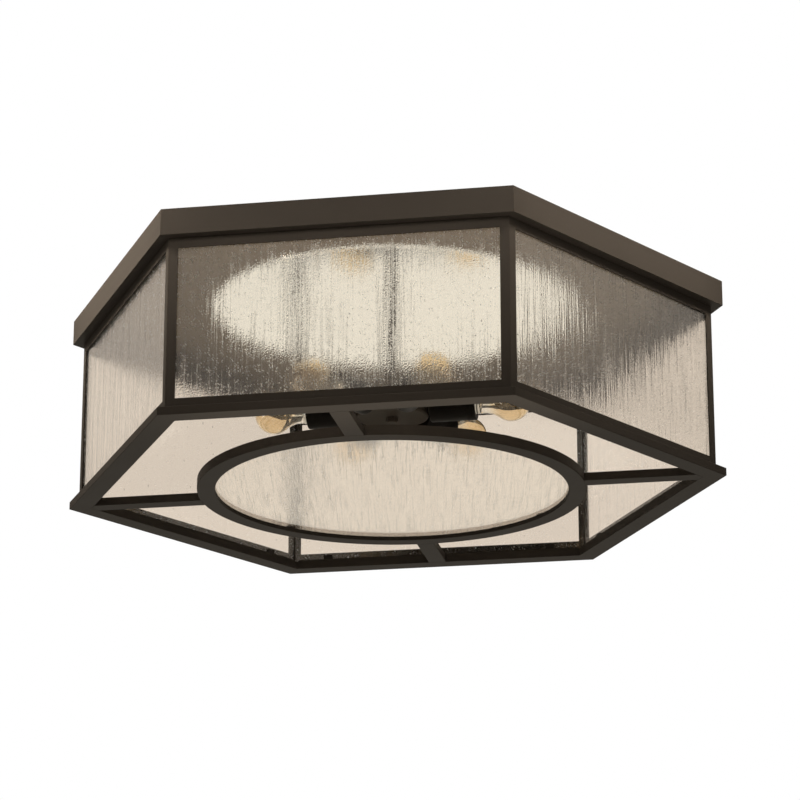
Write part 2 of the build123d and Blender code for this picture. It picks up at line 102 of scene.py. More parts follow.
# Paint, and painted light on the underside inside the canopy: a lighter tone that stands in for the
# light reaching it inside the lantern.
# A noise is lumps to a metre and detail, and a bump is strength and depth.
PAINT_DEEP = (0.042, 0.0345, 0.0275, 1.0)
PAINT_PALE = (0.050, 0.0412, 0.0333, 1.0)
PAINT_DUST = (0.09, 0.077, 0.063, 1.0)
PAINT_CLOUD = (16.0, 3.0)
PAINT_GRAIN = (1400.0, 2.0)
PAINT_PEEL = (420.0, 2.0)
DUST_SPECKS = (520.0, 1.0)
DUST_EDGE = (0.70, 0.80)
DUST_SHARE = 0.35
PAINT_ROUGHNESS = 0.44
PAINT_CLOUDING = 0.08
PAINT_GRAINING = 0.06
PAINT_SHEEN = 0.03
PEEL_GRAIN = 0.4
PEEL_BUMP = (0.12, 0.4 * MM)
CANOPY_INSIDE = (-25 * MM, -20 * MM)
CANOPY_PAINTED_LIGHT = (0.232, 0.182, 0.132, 1.0)
FACING_DOWN = (0.5, 0.6)

# Metals and mouldings: a deeper and a paler tone, and the roughness
METALS = {
    "zinc_steel": ((0.42, 0.42, 0.41, 1.0), (0.52, 0.52, 0.50, 1.0), 0.34),
    "black_steel": ((0.022, 0.019, 0.016, 1.0), (0.036, 0.031, 0.027, 1.0), 0.42),
    "brass": ((0.66, 0.47, 0.20, 1.0), (0.76, 0.57, 0.28, 1.0), 0.22),
    "nickel_cap": ((0.60, 0.57, 0.52, 1.0), (0.70, 0.67, 0.62, 1.0), 0.20),
    "tungsten": ((0.26, 0.25, 0.24, 1.0), (0.34, 0.33, 0.31, 1.0), 0.35),
}
METAL_CLOUD = (60.0, 3.0)
METAL_GRAIN = (300.0, 3.0)
METAL_CLOUDING = 0.12
METAL_GRAINING = 0.06
METAL_BUMP = (0.08, 0.3 * MM)
MOULDINGS = {
    "black_phenolic": ((0.0045, 0.0035, 0.0028, 1.0), (0.0075, 0.006, 0.0048, 1.0), 0.42),
    "terminal_insulation": ((0.70, 0.67, 0.60, 1.0), (0.78, 0.75, 0.69, 1.0), 0.5),
    "lead_insulation": ((0.04, 0.04, 0.04, 1.0), (0.06, 0.06, 0.06, 1.0), 0.45),
}
MOULDING_FLOW = (90.0, 3.0)
MOULDING_GRAIN = (1500.0, 2.0)
MOULDING_FLOWING = 0.1
MOULDING_SHEEN = 0.06
MOULDING_BUMP = (0.1, 0.2 * MM)
MIRROR_DEEP = (0.92, 0.905, 0.87, 1.0)
MIRROR_PALE = (0.96, 0.95, 0.925, 1.0)
MIRROR_HAZE = (18.0, 3.0)
MIRROR_RINGS = 900.0
MIRROR_RING_DETAIL = 2.0
MIRROR_ROUGHNESS = 0.07
MIRROR_HAZING = 0.05
MIRROR_BUMP = (0.05, 0.3 * MM)

# Seeded glass: slow drawn waves on both faces, and bubbles inside
GLASS_DRAW = 7
PANE_COLUMNS = 220
PANE_ROWS = 60
DISC_RINGS = 90
DISC_SIDES = 240
STREAKS = 9
STREAK_DEPTH = 0.08 * MM
STREAK_WIDTH = (9 * MM, 45 * MM)
STREAK_SWAY = (1 * MM, 5 * MM)
STREAK_LENGTH = (90 * MM, 400 * MM)
SEEDS = 120
SEED_RADIUS = 0.8 * MM
SEED_RANGE = (0.3, 1.0)
SEED_DRAWN = 2.6
SEED_MARGIN = 4 * MM
SEED_DEPTH = 0.6
SEED_RINGS = 5
SEED_SIDES = 7

# Strengths of the pattern: bold on the near pane, drawn on the right one, calm on the other panes
PANE_UPRIGHT = (0.0, 0.0, 1.0)
PANE_TINT = (0.997, 0.986, 0.965, 1.0)
PANE_FINISHES = {4: "seeded_glass", 5: "drawn_glass"}
OTHER_PANES = "calm_glass"
BOLD_RELIEF = {"streak": 0.2, "smear": 0.06, "blur": 0.5, "grain": 0.85, "swirl": 0.5, "haze": 1.0}
DRAWN_RELIEF = {"streak": 0.3, "smear": 0.1, "blur": 0.8, "grain": 0.75, "swirl": 0.3, "haze": 0.9}
CALM_RELIEF = {"streak": 0.05, "smear": 0.05, "blur": 0.12, "grain": 0.45, "swirl": 0.2, "haze": 0.7}
DISC_TINT = (0.955, 0.905, 0.84, 1.0)
DISC_DRAWN = radians(10)
DISC_UPRIGHT = (-sin(DISC_DRAWN), cos(DISC_DRAWN), 0.0)
DISC_RELIEF = {"streak": 0.05, "smear": 0.45, "blur": 0.1, "grain": 0.05, "swirl": 0.0, "haze": 0.6}

# Pattern in the face of the glass. A noise is lumps to a metre, detail and how it is drawn out along
# the glass; an edge is where a noise starts to show and where it shows in full.
STREAK_NOISE = (430.0, 1.0, (1.0, 0.03, 1.0))
DRAWN_NOISE = (210.0, 1.0, (1.0, 0.09, 1.0))
DRAWN_SHARE = 0.4
LINE_NOISE = (480.0, 1.0, (1.0, 0.02, 1.0))
LINE_EDGE = (0.45, 0.68)
FINE_NOISE = (2600.0, 1.0, (1.0, 0.004, 1.0))
SWIRL_SLANT = radians(38)
SWIRL_NOISE = (330.0, 1.0, (1.0, 0.07, 1.0))
SWIRL_UP = 0.3
SWIRL_SIDE = 0.25
PATCH_NOISE = (9.0, 1.0)
PATCH_EDGE = (0.52, 0.66)
PIT_NOISE = (330.0, 1.0)
PIT_EDGE = (0.66, 0.76)
PIT_LEAN = 1.2
GRAIN_UP_NOISE = (560.0, 1.0)
GRAIN_UP = 0.2
GRAIN_SIDE_NOISE = (520.0, 1.0)
GRAIN_SIDE = 0.18
MOTTLE_NOISE = (110.0, 1.0)
MOTTLE_EDGE = (0.38, 0.62)
MOTTLE_LEAST = 0.2
MOTTLE_GAIN = 1.6
SPECK_NOISE = (560.0, 1.0)
SPECK_EDGE = (0.57, 0.72)
SCRATCH_NOISE = (420.0, 1.0, (1.0, 0.03, 1.0))
SCRATCH_EDGE = (0.56, 0.72)
FROST = {"speck": 0.19, "mottle": 0.03, "line": 0.15, "scratch": 0.15}
POLISH = 0.03
GLASS_IOR = 1.5
GLASS_CLEAR = 0.985

# Lamps
AMBER_DEEP = (0.935, 0.81, 0.615, 1.0)
AMBER_PALE = (0.955, 0.855, 0.685, 1.0)
AMBER_SWIRL = (70.0, 2.0)
AMBER_BUMP = (0.1, 0.6 * MM)
AMBER_FROM = (116 * MM, 136 * MM)
NECK_CLEAR = (0.97, 0.955, 0.92, 1.0)
BULB_IOR = 1.48
TURN_SIDES = 64
NECK_UNDER_CAP = 0.8 * MM
BULB_WALL = 0.8 * MM
BULB_HOLLOW = 30 * MM
ARC_STEPS = 24
THREAD_PITCH = 25.4 / 7 * MM
THREAD_DEPTH = 0.75 * MM
THREAD_FADE = 1.6 * MM
THREAD_ROWS = 110
CAP_WALL = 0.5 * MM
CAP_SHOULDER = 2.7 * MM
INSULATOR_HEIGHT = 3.0 * MM
INSULATOR_TOP = 9.5 * MM
INSULATOR_BULGE = 0.5 * MM
EYELET_STEPS = 9
MOUNT_FLARE = 10.5 * MM
MOUNT_STEM = 3.0 * MM
MOUNT_LENGTH = 9.0 * MM
MOUNT_PINCH = 0.6 * MM
MOUNT_TIP = 0.7
WIRE_SIDES = 6
WIRE_REFERENCE = (0.31, 0.22, 0.92)
FILAMENT_WIRE = 0.25 * MM
FILAMENT_COIL = 0.45 * MM
FILAMENT_BOW = 4.0 * MM
FILAMENT_TURNS = 26
FILAMENT_STEPS = 10
LEAD_IN_FLARE = 1.5

# Lampholders
HOLDER_BORE = 13.65 * MM
HOLDER_DEPTH = 23.5 * MM
HOLDER_GRIP = 12.0 * MM
HOLDER_BACK = 4.85 * MM
HOLDER_PASSAGE = 3.5 * MM
HOLDER_LIP = 0.5 * MM
HOLDER_STEP = 0.35 * MM
HOLDER_BAND = 10.5 * MM


class Wire:
    """One output of a shader tree. Arithmetic on it adds Math nodes, and node() adds any other node."""

    def __init__(self, tree, socket=None):
        self.tree = tree
        self.socket = socket

    def node(self, kind, settings=None, inputs=None, out=0):
        """Add a node: its settings first, then a value or a Wire for each named input."""
        made = self.tree.nodes.new(kind)
        for name, value in (settings or {}).items():
            setattr(made, name, value)
        for name, value in (inputs or {}).items():
            if isinstance(value, Wire):
                self.tree.links.new(value.socket, made.inputs[name])
            else:
                made.inputs[name].default_value = value
        return Wire(self.tree, made.outputs[out]) if made.outputs else None

    def other(self, name):
        """Another output of the same node."""
        return Wire(self.tree, self.socket.node.outputs[name])

    def math(self, operation, first, second):
        return self.node("ShaderNodeMath", {"operation": operation}, {0: first, 1: second})

    def __add__(self, value):
        return self.math("ADD", self, value)

    def __radd__(self, value):
        return self.math("ADD", value, self)

    def __sub__(self, value):
        return self.math("SUBTRACT", self, value)

    def __rsub__(self, value):
        return self.math("SUBTRACT", value, self)

    def __mul__(self, value):
        return self.math("MULTIPLY", self, value)

    def __rmul__(self, value):
        return self.math("MULTIPLY", value, self)

    def above(self, low, high):
        """0 below low, 1 above high, and a smooth step between them."""
        settings = {"interpolation_type": "SMOOTHSTEP"}
        limits = {"Value": self, "From Min": low, "From Max": high}
        return self.node("ShaderNodeMapRange", settings, limits)


def new_material(name):
    """An empty material and the start of its node tree."""
    material = bpy.data.materials.new(name)
    material.use_nodes = True
    material.node_tree.nodes.clear()
    return material, Wire(material.node_tree)


def finish_surface(start, inputs):
    """Principled shader with these inputs, on the material's output."""
    shader = start.node("ShaderNodeBsdfPrincipled", None, inputs)
    start.node("ShaderNodeOutputMaterial", None, {"Surface": shader})


def place_on(start):
    """Object coordinates, in metres of the fixture's frame."""
    return start.node("ShaderNodeTexCoord", out=3)


def noise(start, where, scale, detail, stretch=(1.0, 1.0, 1.0)):
    """Noise between 0 and 1, with about `scale` lumps to a metre, drawn out along an axis by stretch."""
    spread = start.node("ShaderNodeVectorMath", {"operation": "MULTIPLY"}, {0: where, 1: stretch})
    return start.node("ShaderNodeTexNoise", None, {"Vector": spread, "Scale": scale, "Detail": detail})


def mix_colour(start, factor, low, high):
    """Colour from low to high as factor goes from 0 to 1."""
    return start.node("ShaderNodeMix", {"data_type": "RGBA"}, {0: factor, 6: low, 7: high}, out=2)


def bump(start, height, strength, distance):
    """Normal that leans as a height field does."""
    inputs = {"Height": height, "Strength": strength, "Distance": distance}
    return start.node("ShaderNodeBump", None, inputs)


def bronze_paint():
    """Satin dark bronze powder coat: faint cloudy tone, fine orange peel, sparse lighter dust.

    The flat underside inside the canopy is painted lighter, as painted light that stands in for the
    light reaching it inside the lantern.
    """
    material, start = new_material("bronze_paint")
    where = place_on(start)
    cloud = noise(start, where, *PAINT_CLOUD)
    grain = noise(start, where, *PAINT_GRAIN)
    dust = noise(start, where, *DUST_SPECKS).above(*DUST_EDGE)
    tone = mix_colour(start, cloud, PAINT_DEEP, PAINT_PALE)
    tone = mix_colour(start, dust * DUST_SHARE, tone, PAINT_DUST)
    facing = start.node("ShaderNodeNewGeometry", out=1)
    upward = start.node("ShaderNodeSeparateXYZ", None, {"Vector": facing}, out=2)
    height = start.node("ShaderNodeSeparateXYZ", None, {"Vector": where}, out=2)
    # Painted light: faces turned down near the top, inside the canopy, get a lighter tone that stands in
    # for the light reaching them inside the lantern.
    inside = height.above(*CANOPY_INSIDE) * (0.0 - upward).above(*FACING_DOWN)
    tone = mix_colour(start, inside, tone, CANOPY_PAINTED_LIGHT)
    peel = noise(start, where, *PAINT_PEEL)
    finish_surface(start, {
        "Base Color": tone,
        "Roughness": PAINT_ROUGHNESS + cloud * PAINT_CLOUDING + grain * PAINT_GRAINING,
        "Specular IOR Level": PAINT_SHEEN,
        "Normal": bump(start, peel + grain * PEEL_GRAIN, *PEEL_BUMP),
    })
    return material


def seeded_glass(name, tint, upright, relief):
    """Drawn glass with fine streaks, a tight grain and patches of slanting swirl.

    Streaks are narrow noises drawn out along the glass, and lean its face from side to side. A much
    finer one, smear all over and blur on the thin lines, softens what is seen through it sideways.
    The grain and its pits lean the face every way, and the swirl does so in patches. Thin lines,
    mottled specks and slanting scratches are frosted, by haze. The UV map is in metres: across,
    then along the streaks.
    """
    material, start = new_material(name)
    uv = start.node("ShaderNodeTexCoord", out=2)
    facing = start.node("ShaderNodeNewGeometry", out=1)
    across = start.node("ShaderNodeVectorMath", {"operation": "CROSS_PRODUCT"}, {0: facing, 1: upright})
    slanted = start.node("ShaderNodeMapping", None, {"Vector": uv, "Rotation": (0.0, 0.0, SWIRL_SLANT)})
    streak = (noise(start, uv, *STREAK_NOISE) - 0.5) * relief["streak"]
    drawn = (noise(start, uv, *DRAWN_NOISE) - 0.5) * relief["streak"] * DRAWN_SHARE
    line = noise(start, uv, *LINE_NOISE).above(*LINE_EDGE)
    fine = noise(start, uv, *FINE_NOISE) - 0.5
    blur = fine * (relief["smear"] + line * relief["blur"])
    patch = noise(start, uv, *PATCH_NOISE).above(*PATCH_EDGE)
    swirl = (noise(start, slanted, *SWIRL_NOISE) - 0.5) * patch * relief["swirl"]
    pit = noise(start, uv, *PIT_NOISE).above(*PIT_EDGE) * PIT_LEAN
    grain_up = (noise(start, uv, *GRAIN_UP_NOISE) - 0.5) * (GRAIN_UP + pit) * relief["grain"]
    grain_side = (noise(start, slanted, *GRAIN_SIDE_NOISE) - 0.5) * (GRAIN_SIDE + pit) * relief["grain"]
    lean_up = swirl * SWIRL_UP + grain_up
    lean_side = swirl * SWIRL_SIDE + streak + drawn + blur + grain_side
    mottle = MOTTLE_LEAST + MOTTLE_GAIN * noise(start, uv, *MOTTLE_NOISE).above(*MOTTLE_EDGE)
    speck = noise(start, slanted, *SPECK_NOISE).above(*SPECK_EDGE) * mottle
    scratch = noise(start, slanted, *SCRATCH_NOISE).above(*SCRATCH_EDGE) * patch
    frost = speck * FROST["speck"] + mottle * FROST["mottle"] + line * FROST["line"]
    frost = frost + scratch * relief["swirl"] * FROST["scratch"]

    def scaled(vector, amount):
        return start.node("ShaderNodeVectorMath", {"operation": "SCALE"}, {0: vector, "Scale": amount})

    def summed(first, second):
        return start.node("ShaderNodeVectorMath", {"operation": "ADD"}, {0: first, 1: second})

    leaning = summed(summed(facing, scaled(upright, lean_up)), scaled(across, lean_side))
    leaning = start.node("ShaderNodeVectorMath", {"operation": "NORMALIZE"}, {0: leaning})
    finish_surface(start, {
        "Base Color": tint,
        "Roughness": POLISH + frost * relief["haze"],
        "IOR": GLASS_IOR,
        "Transmission Weight": GLASS_CLEAR,
        "Normal": leaning,
    })
    return material


def distance_out(start, where):
    """Distance of a place from the light's upright axis."""
    flat = start.node("ShaderNodeVectorMath", {"operation": "MULTIPLY"}, {0: where, 1: (1.0, 1.0, 0.0)})
    return start.node("ShaderNodeVectorMath", {"operation": "LENGTH"}, {0: flat}, out=1)


def polished_reflector():
    """Spun and polished aluminium: fine rings about the middle and a faint haze."""
    material, start = new_material("polished_reflector")
    where = place_on(start)
    rings = start.node("ShaderNodeTexNoise", {"noise_dimensions": "1D"},
                       {"W": distance_out(start, where), "Scale": MIRROR_RINGS,
                        "Detail": MIRROR_RING_DETAIL})
    haze = noise(start, where, *MIRROR_HAZE)
    finish_surface(start, {
        "Base Color": mix_colour(start, haze, MIRROR_DEEP, MIRROR_PALE),
        "Metallic": 1.0,
        "Roughness": MIRROR_ROUGHNESS + haze * MIRROR_HAZING,
        "Normal": bump(start, rings, *MIRROR_BUMP),
    })
    return material


def plain_metal(name, low, high, roughness):
    """Bare or plated metal with a slightly uneven tone and fine handling marks."""
    material, start = new_material(name)
    where = place_on(start)
    cloud = noise(start, where, *METAL_CLOUD)
    grain = noise(start, where, *METAL_GRAIN)
    finish_surface(start, {
        "Base Color": mix_colour(start, cloud, low, high),
        "Metallic": 1.0,
        "Roughness": roughness + cloud * METAL_CLOUDING + grain * METAL_GRAINING,
        "Normal": bump(start, grain, *METAL_BUMP),
    })
    return material


def moulded(name, low, high, roughness):
    """Moulded insulation with a faint flow pattern and a fine grain."""
    material, start = new_material(name)
    where = place_on(start)
    flow = noise(start, where, *MOULDING_FLOW)
    grain = noise(start, where, *MOULDING_GRAIN)
    finish_surface(start, {
        "Base Color": mix_colour(start, flow, low, high),
        "Roughness": roughness + flow * MOULDING_FLOWING,
        "Specular IOR Level": MOULDING_SHEEN,
        "Normal": bump(start, grain, *MOULDING_BUMP),
    })
    return material


def amber_glass():
    """Thin blown glass with a slight unevenness, amber on the globe and clearer towards the neck."""
    material, start = new_material("amber_glass")
    where = place_on(start)
    swirl = noise(start, where, *AMBER_SWIRL)
    amber = mix_colour(start, swirl, AMBER_DEEP, AMBER_PALE)
    globe = distance_out(start, where).above(*AMBER_FROM)
    finish_surface(start, {
        "Base Color": mix_colour(start, globe, NECK_CLEAR, amber),
        "Roughness": 0.0,
        "IOR": BULB_IOR,
        "Transmission Weight": 1.0,
        "Normal": bump(start, swirl, *AMBER_BUMP),
    })
    return material


def make_finishes():
    """Every slot's material by the slot's name, and the other kinds of seeded glass."""
    finishes = {
        "bronze_paint": bronze_paint(),
        "seeded_glass": seeded_glass("seeded_glass", PANE_TINT, PANE_UPRIGHT, BOLD_RELIEF),
        "drawn_glass": seeded_glass("drawn_seeded_glass", PANE_TINT, PANE_UPRIGHT, DRAWN_RELIEF),
        "calm_glass": seeded_glass("calm_seeded_glass", PANE_TINT, PANE_UPRIGHT, CALM_RELIEF),
        "round_glass": seeded_glass("round_seeded_glass", DISC_TINT, DISC_UPRIGHT, DISC_RELIEF),
        "polished_reflector": polished_reflector(),
        "amber_glass": amber_glass(),
    }
    finishes.update({name: plain_metal(name, *look) for name, look in METALS.items()})
    finishes.update({name: moulded(name, *look) for name, look in MOULDINGS.items()})
    return finishes


def dress_cad_nodes(finishes):
    """Put each slot's material on the CAD nodes that the record gives to it."""
    for row in frame["record"]["subparts"]:
        for holder in nodes[row["node"]].material_slots:
            holder.material = finishes[row["material_slot"]]


def grid_faces(rows, columns, wrap_rows):
    """Quads between neighbouring points of a grid: its rows are closed, its columns if they wrap."""
    down = np.arange(rows if wrap_rows else rows - 1)
    over = np.arange(columns)
    i, j = np.meshgrid(down, over, indexing="ij")
    below, beside = (i + 1) % rows, (j + 1) % columns
    corners = [i * columns + j, below * columns + j, below * columns + beside, i * columns + beside]
    return np.stack(corners, axis=-1).reshape(-1, 4)


def enclosed(points, quads):
    """Signed volume inside closed quads: the sum of the tetrahedra from the origin."""
    a, b, c, d = (points[quads[:, corner]] for corner in range(4))
    return (np.sum(a * np.cross(b, c)) + np.sum(a * np.cross(c, d))) / 6


def surface(points, wrap_rows=False, uv=None):
    """A closed grid of points as (points, quads, uv), with its faces outwards."""
    rows, columns = points.shape[:2]
    quads = grid_faces(rows, columns, wrap_rows)
    flat = points.reshape(-1, 3)
    if enclosed(flat, quads) < 0:
        quads = quads[:, ::-1]
    if uv is None:
        uv = np.zeros((rows, columns, 2))
    return flat, quads, uv.reshape(-1, 2)


def joined(surfaces):
    """Several surfaces as one (points, quads, uv)."""
    starts = np.cumsum([0] + [len(points) for points, quads, uv in surfaces])
    points = np.concatenate([one[0] for one in surfaces])
    quads = np.concatenate([one[1] + start for one, start in zip(surfaces, starts)])
    return points, quads, np.concatenate([one[2] for one in surfaces])


def welded(points, quads, uv):
    """Points that coincide become one; a quad with one closed side becomes a triangle."""
    keys = np.round(points / WELD).astype(np.int64)
    first, place = np.unique(keys, axis=0, return_index=True, return_inverse=True)[1:]
    quads = place.reshape(-1)[quads]
    shut = quads == np.roll(quads, -1, axis=1)
    pinched = shut.sum(axis=1) == 1
    whole = quads[shut.sum(axis=1) == 0]
    triangles = quads[pinched][~shut[pinched]].reshape(-1, 3)
    return points[first], whole, triangles, uv[first]


def make_piece(name, surfaces, material, body, stands_for):
    """One mesh of closed surfaces, smooth except at sharp edges, riding on its body."""
    points, quads, triangles, uv = welded(*joined(surfaces))
    mesh = bpy.data.meshes.new(name)
    mesh.from_pydata(points, [], quads.tolist() + triangles.tolist())
    mesh.polygons.foreach_set("use_smooth", np.ones(len(mesh.polygons), bool))
    mesh.set_sharp_from_angle(angle=SHARP_ANGLE)
    corners = np.empty(len(mesh.loops), np.int32)
    mesh.loops.foreach_get("vertex_index", corners)
    mesh.uv_layers.new(name="UVMap").data.foreach_set("uv", uv[corners].astype(np.float32).ravel())
    mesh.materials.append(material)
    mesh.validate()
    piece = bpy.data.objects.new(name, mesh)
    bpy.context.scene.collection.objects.link(piece)
    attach(piece, body)
    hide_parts(*stands_for)


def turned(points, step):
    """Points turned about the vertical axis by a number of sixths of a turn."""
    angle = step * 2 * pi / SIDES
    turn = np.array([[cos(angle), -sin(angle), 0], [sin(angle), cos(angle), 0], [0, 0, 1]])
    return points @ turn.T


def streak_waves(across, along, draw):
    """Sum of sine streaks, depth / count * sin(2 pi (across + sway) / width + start).

    Each streak's sway is itself a slow sine along the streak, so the lines wander a little.
    """
    size = (STREAKS, 1, 1)
    width = draw.uniform(*STREAK_WIDTH, size)
    start = draw.uniform(0, 2 * pi, size)
    sway = draw.uniform(*STREAK_SWAY, size)
    length = draw.uniform(*STREAK_LENGTH, size)
    phase = draw.uniform(0, 2 * pi, size)
    wander = sway * np.sin(2 * pi * along / length + phase)
    return STREAK_DEPTH / STREAKS * np.sin(2 * pi * (across + wander) / width + start).sum(axis=0)


def seed_bubbles(centres, sizes):
    """Bubbles in glass, centre + size * unit sphere, with their faces turned into the bubble."""
    tilt = np.linspace(0, pi, SEED_RINGS)[:, None]
    turn = np.linspace(0, 2 * pi, SEED_SIDES, endpoint=False)[None, :]
    ball = np.stack([np.sin(tilt) * np.cos(turn), np.sin(tilt) * np.sin(turn),
                     np.cos(tilt) + 0 * turn], axis=-1)
    one_points, one_quads, one_uv = surface(ball)
    points = centres[:, None, :] + sizes[:, None, :] * one_points[None]
    starts = np.arange(len(centres))[:, None, None] * len(one_points)
    quads = (one_quads[None, :, ::-1] + starts).reshape(-1, 4)
    return points.reshape(-1, 3), quads, np.tile(one_uv, (len(centres), 1))


def seed_sizes(draw, along):
    """Half sizes of the bubbles: mostly small, drawn out along one axis, thinner than the glass."""
    size = draw.uniform(*SEED_RANGE, SEEDS) ** 2 * SEED_RADIUS
    sizes = np.stack([size, size, size], axis=-1)
    sizes[:, along] *= draw.uniform(1.0, SEED_DRAWN, SEEDS)
    return sizes


def pane_of_glass(step, draw):
    """Side pane as a loop up its outer face and down its inner one, carried across its width.

    Point (u, s) = (u, side(s) * half thickness + waves(u, z), z(s)); the two end rows close on
    the middle of the thickness. Small bubbles lie inside the glass.
    """
    low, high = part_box("glass_panel_1")
    half, middle, thick = high.x, (low.y + high.y) / 2, (high.y - low.y) / 2
    columns = np.linspace(-half, half, PANE_COLUMNS)
    across = np.concatenate([columns[:1], columns, columns[-1:]])[:, None]
    heights = np.linspace(low.z, high.z, PANE_ROWS)
    z = np.concatenate([heights, heights[::-1]])[None, :]
    side = np.repeat([1.0, -1.0], PANE_ROWS)[None, :] * np.ones_like(across)
    side[[0, -1]] = 0.0
    waves = np.where(side > 0, streak_waves(across, z, draw), streak_waves(across, z, draw))
    y = middle + side * thick + waves * np.abs(side)
    shape = np.stack([across + 0 * z, y, z + 0 * across], axis=-1)
    uv = np.stack([across + 0 * z + step, z + 0 * across], axis=-1)
    centres = np.stack([draw.uniform(-half + SEED_MARGIN, half - SEED_MARGIN, SEEDS),
                        np.full(SEEDS, middle),
                        draw.uniform(low.z + SEED_MARGIN, high.z - SEED_MARGIN, SEEDS)], axis=-1)
    sizes = seed_sizes(draw, 2)
    sizes[:, 1] = np.minimum(sizes[:, 1], SEED_DEPTH * thick)
    glass = joined([surface(shape, uv=uv), seed_bubbles(centres, sizes)])
    return turned(glass[0], step), glass[1], glass[2]


def round_glass(draw):
    """Round glass as rings out across its underside and back across its top.

    Point (s, a) = (r(s) cos a, r(s) sin a, face(s) + waves(x, y)), closed on the axis.
    """
    low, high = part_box("glass_disc")
    rings = np.linspace(0, high.x, DISC_RINGS)
    radius = np.concatenate([rings, rings[::-1]])[:, None]
    turn = np.linspace(0, 2 * pi, DISC_SIDES, endpoint=False)[None, :]
    x, y = radius * np.cos(turn), radius * np.sin(turn)
    face = np.repeat([low.z, high.z], DISC_RINGS)[:, None]
    under = np.arange(2 * DISC_RINGS)[:, None] < DISC_RINGS
    inside = np.sqrt(np.clip(1 - (radius / high.x) ** 2, 0, 1))
    across = x * cos(DISC_DRAWN) + y * sin(DISC_DRAWN)
    along = y * cos(DISC_DRAWN) - x * sin(DISC_DRAWN)
    waves = np.where(under, streak_waves(across, along, draw), streak_waves(across, along, draw))
    shape = np.stack([x, y, face + waves * inside], axis=-1)
    uv = np.stack([across, along], axis=-1)
    reach = (high.x - SEED_MARGIN) * np.sqrt(draw.uniform(0, 1, SEEDS))
    angle = draw.uniform(0, 2 * pi, SEEDS)
    middle, thick = (low.z + high.z) / 2, (high.z - low.z) / 2
    centres = np.stack([reach * np.cos(angle), reach * np.sin(angle), np.full(SEEDS, middle)], axis=-1)
    sizes = seed_sizes(draw, 1)
    sizes[:, 2] = np.minimum(sizes[:, 2], SEED_DEPTH * thick)
    return joined([surface(shape, uv=uv), seed_bubbles(centres, sizes)])


def along_lamp(out, radius, turn, step):
    """Points at a distance out along a lamp's axis, at a radius and an angle about it."""
    axis = (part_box("lamp_1_cap")[0].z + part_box("lamp_1_cap")[1].z) / 2
    out, radius, turn = np.broadcast_arrays(out, radius, turn)
    points = np.stack([out, radius * np.sin(turn), axis + radius * np.cos(turn)], axis=-1)
    return turned(points, step)


def lathe(profile, step, closed=False):
    """An outline of (distance, radius) points, turned about a lamp's axis."""
    profile = np.asarray(profile)
    turn = np.linspace(0, 2 * pi, TURN_SIDES, endpoint=False)[None, :]
    points = along_lamp(profile[:, 0][:, None], profile[:, 1][:, None], turn, step)
    return surface(points, wrap_rows=closed)


def bulb_wall(inset):
    """Outline of a bulb's wall from the neck's end to the tip, inset from the outer face.

    A straight neck, then a hollow arc tangent to it, then the globe's arc. The hollow arc's
    centre lies as far from the globe's centre as the two radii together.
    """
    low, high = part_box("lamp_1_glass")
    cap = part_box("lamp_1_cap")[1]
    outer = (high.y - low.y) / 2
    neck = cap.y - NECK_UNDER_CAP - inset
    globe = outer - inset
    curve = BULB_HOLLOW + inset
    centre = high.x - outer
    reach = sqrt((globe + curve) ** 2 - (neck + curve) ** 2)
    swing = np.arctan2(reach, neck + curve)
    bend = np.linspace(0, swing, ARC_STEPS)
    hollow = np.stack([centre - reach + curve * np.sin(bend), neck + curve - curve * np.cos(bend)],
                      axis=-1)
    rise = np.linspace(swing, -pi / 2, 2 * ARC_STEPS)
    crown = np.stack([centre - globe * np.sin(rise), globe * np.cos(rise)], axis=-1)
    return np.concatenate([[[low.x + inset, neck]], hollow, crown[1:]])


def lamp_bulb(step):
    """Blown bulb with a real wall: down the inside from the tip, and back up the outside."""
    outline = np.concatenate([bulb_wall(BULB_WALL)[::-1], bulb_wall(0.0)])
    outline[[0, -1], 1] = 0.0
    return lathe(outline, step)


def lamp_cap(step):
    """Screw cap: radius less depth * (1 - cos(2 pi (out / pitch - turn / 2 pi))) / 2.

    The groove fades out towards both ends of the barrel, and the cap is open at the neck.
    """
    low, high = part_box("lamp_1_cap")
    radius = high.y
    shoulder = low.x + INSULATOR_HEIGHT
    barrel = shoulder + CAP_SHOULDER
    out = np.linspace(barrel, high.x, THREAD_ROWS)[:, None]
    turn = np.linspace(0, 2 * pi, TURN_SIDES, endpoint=False)[None, :]
    room = np.minimum(out - barrel, high.x - out)
    fade = np.clip((room - THREAD_FADE / 2) / THREAD_FADE, 0, 1)
    groove = THREAD_DEPTH * fade * (1 - np.cos(2 * pi * out / THREAD_PITCH - turn)) / 2
    before = np.array([[shoulder, 0.0], [shoulder, INSULATOR_TOP]])
    inside = radius - THREAD_DEPTH - CAP_WALL
    after = np.array([[high.x, inside], [barrel + CAP_WALL, inside], [barrel + CAP_WALL, 0.0]])
    ends = [along_lamp(part[:, :1], part[:, 1:], turn, step) for part in (before, after)]
    middle = along_lamp(out, radius - groove, turn, step)
    return surface(np.concatenate([ends[0], middle, ends[1]]))


def cap_insulator(step):
    """Black glass insulator between the screw cap and the eyelet."""
    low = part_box("lamp_1_cap")[0].x
    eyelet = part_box("lamp_1_contact")[1].y
    top = low + INSULATOR_HEIGHT
    bulge = INSULATOR_BULGE
    outline = [
        (low, 0.0), (low, eyelet), (low + bulge, eyelet + 2 * bulge),
        (top - bulge, INSULATOR_TOP - bulge), (top, INSULATOR_TOP), (top, 0.0),
    ]
    return lathe(outline, step)


def cap_eyelet(step):
    """Soldered eyelet: a low dome, radius times the square root of 1 - t squared."""
    low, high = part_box("lamp_1_contact")
    share = np.linspace(0, 1, EYELET_STEPS)
    dome = np.stack([high.x - (high.x - low.x) * np.sqrt(1 - share**2), high.y * share], axis=-1)
    return lathe(np.concatenate([dome, [[high.x, 0.0]]]), step)


